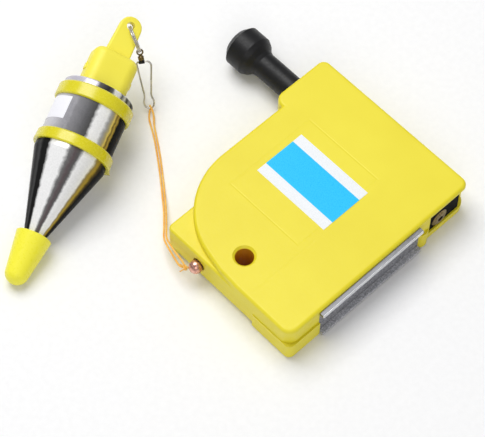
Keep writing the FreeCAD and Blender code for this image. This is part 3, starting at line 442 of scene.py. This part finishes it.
def zinc_plate(name, dark, light, edge):
    """Zinc-plated pole plate, drawn along its length, with a painted highlight along its outer
    edge.
    """
    surface = brushed(name, dark, light, 0.34, (1.0, 0.04, 1.0), 0.85)
    # Painted highlight: a bright line along the outer edge.
    edge_highlight = surface.span(surface.along(ORIGIN, AXES[0]), *PLATE_EDGE_X)
    surface.colour(surface.mix(edge_highlight, surface.painted(), edge))
    return surface


def twisted_yarn():
    """Nylon line: fine filaments with uneven dye."""
    surface = Surface("twisted_yarn", Sheen_Weight=0.15)
    filament = surface.noise(scale=5200.0)
    tone = surface.blend(surface.noise(scale=260.0, detail=3.0), filament, 0.55)
    surface.colour(surface.ramp(tone, [
        (0.34, (0.88, 0.40, 0.045)), (0.5, (0.95, 0.53, 0.085)), (0.66, (0.98, 0.68, 0.18)),
    ]))
    surface.roughness(surface.uneven(filament, 0.42, 0.62))
    surface.bump(filament, 0.03 * MM)
    return surface


# ---- Light and floor ----------------------------------------------------------------------
FLOOR_HALF = 9.0           # metres; it reaches past the bob at full payout
SKY_AT_HORIZON = 0.30      # world strength
SKY_OVERHEAD = 0.42
SKY_RISE = 0.8             # direction's height at which the sky is at its brightest


def add_lamp(name, place, width, watts):
    """Square lamp that faces the origin."""
    data = bpy.data.lights.new(name, "AREA")
    data.shape = "RECTANGLE"
    data.size = data.size_y = width
    data.energy = watts
    lamp = link(bpy.data.objects.new(name, data))
    lamp.location = place
    lamp.rotation_euler = (-Vector(place)).to_track_quat("-Z", "Y").to_euler()


def add_studio():
    bm = bmesh.new()
    bmesh.ops.create_grid(bm, x_segments=2, y_segments=2, size=FLOOR_HALF)
    mesh = bpy.data.meshes.new("floor")
    bm.to_mesh(mesh)
    bm.free()
    floor = link(bpy.data.objects.new("floor", mesh))
    floor.location = (0.0, 0.0, min(CAD_BOX[0][2], 0.0))
    paper = Surface("floor_paper", Specular_IOR_Level=0.1)
    grain = paper.noise(scale=400.0)
    paper.colour(paper.mottle(grain, (0.925, 0.925, 0.93), (0.95, 0.95, 0.955)))
    paper.roughness(paper.uneven(grain, 0.85, 0.95))
    use(floor, paper.material)
    world = bpy.data.worlds.new("studio")
    world.use_nodes = True
    nodes = world.node_tree.nodes
    links = world.node_tree.links
    background = nodes["Background"]
    direction = nodes.new("ShaderNodeSeparateXYZ")
    shade = nodes.new("ShaderNodeMapRange")
    shade.inputs["From Min"].default_value = 0.0
    shade.inputs["From Max"].default_value = SKY_RISE
    shade.inputs["To Min"].default_value = SKY_AT_HORIZON
    shade.inputs["To Max"].default_value = SKY_OVERHEAD
    background.inputs["Color"].default_value = (1.0, 1.0, 1.0, 1.0)
    links.new(nodes.new("ShaderNodeTexCoord").outputs["Generated"], direction.inputs[0])
    links.new(direction.outputs["Z"], shade.inputs["Value"])
    links.new(shade.outputs[0], background.inputs["Strength"])
    bpy.context.scene.world = world
    bpy.context.scene.view_settings.view_transform = "Standard"
    add_lamp("key", (-0.50, 0.05, 1.2), 0.9, 11.8)
    add_lamp("fill", (0.7, -0.6, 0.8), 0.7, 2.4)


# ---- Line ---------------------------------------------------------------------------------
LINE_DIAMETER = 0.9 * MM
LINE_PITCH = 2.4 * MM      # length of one turn of the strands
STRAND_SHARE = 0.27        # radius of a strand over the diameter of its line
STRAND_STEPS = 12.0        # points in one turn of the strands

# Control points of the doubled leader in millimetres: from the knot out to the snap and back.
LEADER = [
    (-10.257, -41.155, 8.428),
    (-11.5, -41.6, 7.9),
    (-14.3, -41.0, 7.8),
    (-18.1, -39.9, 7.6),
    (-22.2, -38.7, 7.1),
    (-26.7, -36.9, 6.0),
    (-30.8, -32.9, 4.3),
    (-38.0, -26.4, 2.0),
    (-45.7, -20.5, 0.8),
    (-54.4, -13.9, 0.5),
    (-62.5, -8.2, 0.5),
    (-69.4, -3.6, 0.5),
    (-74.4, -0.9, 0.5),
    (-78.1, 1.2, 0.7),
    (-81.367, 5.203, 0.961),
    (-81.556, 4.965, 3.139),
    (-76.9, 3.3, 2.6),
    (-73.4, 0.0, 1.6),
    (-68.6, -2.9, 0.7),
    (-61.7, -7.3, 0.5),
    (-53.6, -13.2, 0.6),
    (-44.7, -19.9, 1.3),
    (-36.9, -26.1, 3.1),
    (-29.6, -32.6, 5.6),
    (-25.6, -36.4, 7.3),
    (-21.6, -37.7, 8.5),
    (-17.3, -38.8, 9.1),
    (-13.8, -39.5, 9.5),
    (-11.5, -39.9, 9.6),
    (-10.308, -40.315, 9.264),
]


def spline_points(route):
    """Points of the smooth line that has the route's points as control points."""
    curve = bpy.data.curves.new("route", "CURVE")
    curve.dimensions = "3D"
    curve.resolution_u = 20
    spline = curve.splines.new("NURBS")
    spline.points.add(len(route) - 1)
    for point, place in zip(spline.points, route):
        point.co = (*place, 1.0)
    spline.order_u = 3
    spline.use_endpoint_u = True
    holder = link(bpy.data.objects.new("route", curve))
    bpy.context.view_layer.update()
    mesh = bpy.data.meshes.new_from_object(holder)
    points = [vertex.co.copy() for vertex in mesh.vertices]
    bpy.data.meshes.remove(mesh)
    bpy.data.objects.remove(holder)
    bpy.data.curves.remove(curve)
    return points


def path_length(points):
    return sum((after - before).length for before, after in zip(points, points[1:]))


def evenly(points, step):
    """The same path with evenly spaced points, about a step apart."""
    count = max(2, round(path_length(points) / step))
    spacing = path_length(points) / count
    made = [points[0].copy()]
    due = spacing
    for before, after in zip(points, points[1:]):
        run = (after - before).length
        while run > 0 and due <= run + 1e-12 and len(made) < count:
            made.append(before.lerp(after, due / run))
            due += spacing
        due -= run
    made.append(points[-1].copy())
    return made


def frames_along(points):
    """A steady pair of cross directions at each point of a path."""
    tangents = []
    for index in range(len(points)):
        ahead = points[min(index + 1, len(points) - 1)]
        behind = points[max(index - 1, 0)]
        tangents.append((ahead - behind).normalized())
    normal = tangents[0].orthogonal().normalized()
    pairs = []
    for tangent in tangents:
        normal = (normal - tangent * normal.dot(tangent)).normalized()
        pairs.append((normal.copy(), tangent.cross(normal)))
    return pairs


def around(pair, angle):
    """Unit direction at an angle in the plane of a pair of cross directions."""
    first, second = pair
    return first * math.cos(angle) + second * math.sin(angle)


def add_tube(bm, points, radii, sides=7):
    """Closed round tube along a path, one radius per point."""
    rings = []
    for point, pair, radius in zip(points, frames_along(points), radii):
        angles = [2.0 * math.pi * side / sides for side in range(sides)]
        rings.append([bm.verts.new(point + around(pair, angle) * radius) for angle in angles])
    for before, beyond in zip(rings, rings[1:]):
        for side in range(sides):
            after = (side + 1) % sides
            bm.faces.new((before[side], before[after], beyond[after], beyond[side]))
    bm.faces.new(list(reversed(rings[0])))
    bm.faces.new(rings[-1])


def add_twist(bm, points, diameter, pitch, strands=3):
    """Strands laid round each other along a path, together as thick as the diameter."""
    thickness = diameter * STRAND_SHARE
    offset = diameter / 2.0 - thickness
    points = evenly(points, pitch / STRAND_STEPS)
    pairs = frames_along(points)
    step = path_length(points) / (len(points) - 1)
    for strand in range(strands):
        turned = []
        for index, (point, pair) in enumerate(zip(points, pairs)):
            angle = 2.0 * math.pi * (strand / strands + index * step / pitch)
            turned.append(point + around(pair, angle) * offset)
        add_tube(bm, turned, [thickness] * len(turned))


def finished(name, bm, material, body, slot, *nodes, smooth=True):
    """Turn a bmesh into a piece that rides on a body and stands for CAD nodes."""
    mesh = bpy.data.meshes.new(name)
    bmesh.ops.recalc_face_normals(bm, faces=bm.faces)
    for face in bm.faces:
        face.smooth = smooth
    bm.to_mesh(mesh)
    bm.free()
    piece = link(bpy.data.objects.new(name, mesh))
    use(piece, material)
    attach(piece, body)
    if nodes:
        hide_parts(*nodes)
    return piece


def build_leader(material):
    """The doubled leader, and the path it follows."""
    points = spline_points([mm(*point) for point in LEADER])
    bm = bmesh.new()
    add_twist(bm, points, LINE_DIAMETER, LINE_PITCH)
    leader = finished("leader_line", bm, material, "line_end", "orange_line", "leader_loop")
    return leader, points


KNOT_STEPS = 96
KNOT_LINE = 0.78 * MM           # diameter of the line where it is pulled tight
KNOT_LINE_PITCH = 2.0 * MM
KNOT_REACH = 0.66               # millimetres, the loop's mean radius and its swing
KNOT_SWING = 0.34
KNOT_RISE = 0.48 * MM
TAIL_LEANS = (-0.55, 0.35)
TAIL_LINE = 0.6 * MM
TAIL_LINE_PITCH = 1.8 * MM
TAIL_STATIONS = (0.9 * MM, 1.5 * MM, 2.0 * MM)
STRAYS = 14                     # loose filaments at each tail's end
STRAY_SPREAD = 0.55
STRAY_LENGTH = (0.35, 0.9)      # millimetres
STRAY_RADII = [0.07 * MM, 0.06 * MM, 0.03 * MM]


def build_knot(material):
    """Overhand knot pulled down small, its line into the bead and two frayed tails."""
    draw = random.Random(7)
    towards = (BEAD - KNOT).normalized()
    across = towards.orthogonal().normalized()
    upward = towards.cross(across)
    loop = []
    for step in range(KNOT_STEPS + 1):
        angle = 2.0 * math.pi * step / KNOT_STEPS
        reach = (KNOT_REACH + KNOT_SWING * math.cos(3.0 * angle)) * MM
        rise = towards * KNOT_RISE * math.sin(3.0 * angle)
        loop.append(KNOT + around((across, upward), 2.0 * angle) * reach + rise)
    bm = bmesh.new()
    add_twist(bm, loop, KNOT_LINE, KNOT_LINE_PITCH)
    add_twist(bm, [KNOT, KNOT.lerp(BEAD, 0.5), BEAD], LINE_DIAMETER, LINE_PITCH)
    for lean in TAIL_LEANS:
        out = (-towards * 0.7 + upward * lean + across * 0.5 * lean).normalized()
        stem = [KNOT + out * station for station in TAIL_STATIONS]
        add_twist(bm, stem, TAIL_LINE, TAIL_LINE_PITCH)
        for _ in range(STRAYS):
            stray = Vector([draw.uniform(-1, 1) for _ in range(3)]) * STRAY_SPREAD
            end = stem[-1] + (out + stray) * draw.uniform(*STRAY_LENGTH) * MM
            middle = stem[-1].lerp(end, 0.5) + stray * 0.12 * MM
            add_tube(bm, [stem[-1], middle, end], STRAY_RADII, sides=5)
    return finished("leader_knot_tied", bm, material, "line_end", "orange_line", "leader_knot")


# ---- Return spring ------------------------------------------------------------------------
SPRING_WIRE_RADIUS = 0.4 * MM
SPRING_TURNS = 9
SPRING_STEPS = 24          # points in one turn


def build_return_spring(material):
    """Coil spring round the knob's shaft, at its rest length; it doesn't shorten with the knob.
    """
    low, high = (Vector(corner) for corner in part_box("return_spring"))
    centre = (low + high) / 2.0
    radius = (high.y - low.y) / 2.0 - SPRING_WIRE_RADIUS
    first = low.x + SPRING_WIRE_RADIUS
    last = high.x - SPRING_WIRE_RADIUS
    count = SPRING_TURNS * SPRING_STEPS
    coil = []
    for step in range(count + 1):
        angle = 2.0 * math.pi * step / SPRING_STEPS
        coil.append(Vector((
            first + (last - first) * step / count,
            centre.y + radius * math.cos(angle),
            centre.z + radius * math.sin(angle),
        )))
    bm = bmesh.new()
    add_tube(bm, coil, [SPRING_WIRE_RADIUS] * len(coil), sides=8)
    spring = finished("return_coil", bm, material, "case", "spring_steel", "return_spring")
    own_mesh(spring)


# ---- Power spring -------------------------------------------------------------------------
STRIP_THICKNESS = 0.25 * MM
STRIP_TURNS = 8
STRIP_STEPS = 48                   # points in one turn
STRIP_INNER = 5.4 * MM             # radius of the innermost turn
STRIP_OUTER = 16.7 * MM            # radius at the end of the last turn
TONGUE_X = (3.0 * MM, 5.25 * MM)   # from the arbor to just inside the innermost turn


def add_block(bm, low, high):
    """Closed box between two corners."""
    corners = [bm.verts.new((x, y, z)) for z in (low[2], high[2]) for x, y in (
        (low[0], low[1]), (high[0], low[1]), (high[0], high[1]), (low[0], high[1])
    )]
    for face in (
        (3, 2, 1, 0), (4, 5, 6, 7), (0, 1, 5, 4), (1, 2, 6, 5), (2, 3, 7, 6), (3, 0, 4, 7),
    ):
        bm.faces.new([corners[index] for index in face])


def build_power_spring(material):
    """Spiral strip held by the case, and its inner tongue that turns with the spool's arbor."""
    low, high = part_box("power_spring")
    half = STRIP_THICKNESS / 2.0
    bm = bmesh.new()
    steps = STRIP_STEPS * STRIP_TURNS
    sections = []
    for step in range(steps + 1):
        angle = 2.0 * math.pi * STRIP_TURNS * step / steps
        inner = STRIP_INNER + (STRIP_OUTER - STRIP_INNER) * step / steps
        outer = inner + STRIP_THICKNESS
        sections.append([
            bm.verts.new((radius * math.cos(angle), radius * math.sin(angle), z))
            for radius, z in (
                (inner, low[2]), (outer, low[2]), (outer, high[2]), (inner, high[2]),
            )
        ])
    for before, after in zip(sections, sections[1:]):
        for corner in range(4):
            beside = (corner + 1) % 4
            bm.faces.new((before[corner], before[beside], after[beside], after[corner]))
    bm.faces.new(list(reversed(sections[0])))
    bm.faces.new(sections[-1])
    add_block(bm, (STRIP_OUTER + STRIP_THICKNESS, -half, low[2]), (high[0], half, high[2]))
    finished(
        "power_strip", bm, material, "case", "spring_steel", "power_spring", smooth=False
    )
    bm = bmesh.new()
    add_block(bm, (TONGUE_X[0], -STRIP_THICKNESS, low[2]), (TONGUE_X[1], 0.0, high[2]))
    finished("power_strip_tongue", bm, material, "spool", "spring_steel", smooth=False)


# ---- Scene --------------------------------------------------------------------------------
CASE_YELLOW = ((0.80, 0.675, 0.012), (0.85, 0.735, 0.024))    # dark and light
BAND_YELLOW = ((0.70, 0.62, 0.006), (0.77, 0.69, 0.014))

add_studio()
add_camera()

yarn = twisted_yarn()
leader, leader_points = build_leader(yarn.material)
knot = build_knot(yarn.material)

# The look of each material slot.
FINISHES = {
    "yellow_plastic": moulded("yellow_plastic", *CASE_YELLOW, 0.42),
    "yellow_band": moulded(
        "yellow_band", *BAND_YELLOW, 0.24, 700.0, Coat_Weight=0.25, Coat_Roughness=0.2
    ),
    "black_plastic": moulded(
        "black_plastic", (0.006, 0.006, 0.007), (0.013, 0.013, 0.014), 0.42, 1300.0,
        0.04 * MM, Specular_IOR_Level=0.28
    ),
    "label_print": printed_label(),
    "white_sticker": moulded(
        "white_sticker", (0.88, 0.88, 0.94), (0.94, 0.94, 0.97), 0.32, 2400.0, 0.01 * MM
    ),
    "plate_steel": zinc_plate(
        "plate_steel", (0.15, 0.152, 0.16), (0.27, 0.273, 0.29), (0.95, 0.95, 0.96)
    ),
    "ferrite": speckled(
        "speckled_magnet", (0.10, 0.10, 0.115), (0.21, 0.21, 0.23), (0.40, 0.40, 0.44)
    ),
    "polished_steel": polished_bob(),
    "wire_steel": brushed(
        "wire_steel", (0.46, 0.44, 0.40), (0.66, 0.63, 0.57), 0.24, (0.1, 0.1, 0.1), 0.7
    ),
    "spring_steel": brushed(
        "spring_steel", (0.30, 0.30, 0.32), (0.52, 0.52, 0.54), 0.32, (1.0, 1.0, 0.1)
    ),
    "brass": brushed(
        "brass", (0.085, 0.062, 0.022), (0.30, 0.22, 0.10), 0.30, (1.0, 1.0, 0.3)
    ),
    "copper": brushed(
        "copper", (0.52, 0.22, 0.16), (0.92, 0.56, 0.45), 0.26, (0.3, 0.3, 0.3), 0.85
    ),
    "white_plastic": moulded("white_plastic", (0.66, 0.66, 0.62), (0.78, 0.78, 0.74), 0.45),
    "orange_line": yarn,
}
# Nodes that look different from the rest of their slot.
covers = add_case_details(moulded("yellow_covers", *CASE_YELLOW, 0.42))
OWN_FINISHES = {
    "front_cover": covers,
    "rear_cover": covers,
    # A lighter, dull speckled finish for the lower pole plate than for the upper one, painted
    # light against its shade under the upper plate.
    "lower_pole_plate": speckled(
        "lower_plate_lightened", (0.26, 0.26, 0.28), (0.42, 0.42, 0.45), (0.64, 0.64, 0.68)
    ),
    # A lighter yellow for the tip cap than for the bands, painted light against the shade on
    # its down-facing side.
    "tip_cap": moulded(
        "cap_lightened", (0.93, 0.86, 0.040), (0.98, 0.92, 0.065), 0.30, 700.0,
        Specular_IOR_Level=0.4
    ),
    "bob_head": moulded("head_plastic", (0.91, 0.79, 0.050), (0.96, 0.86, 0.085), 0.45),
    "needle_guide": moulded(
        "guide_plastic", (0.004, 0.004, 0.004), (0.009, 0.009, 0.010), 0.62,
        Specular_IOR_Level=0.03
    ),
}
for node, slot in SLOTS.items():
    use(frame["nodes"][node], OWN_FINISHES.get(node, FINISHES[slot]).material)
build_return_spring(FINISHES["spring_steel"].material)
build_power_spring(FINISHES["spring_steel"].material)
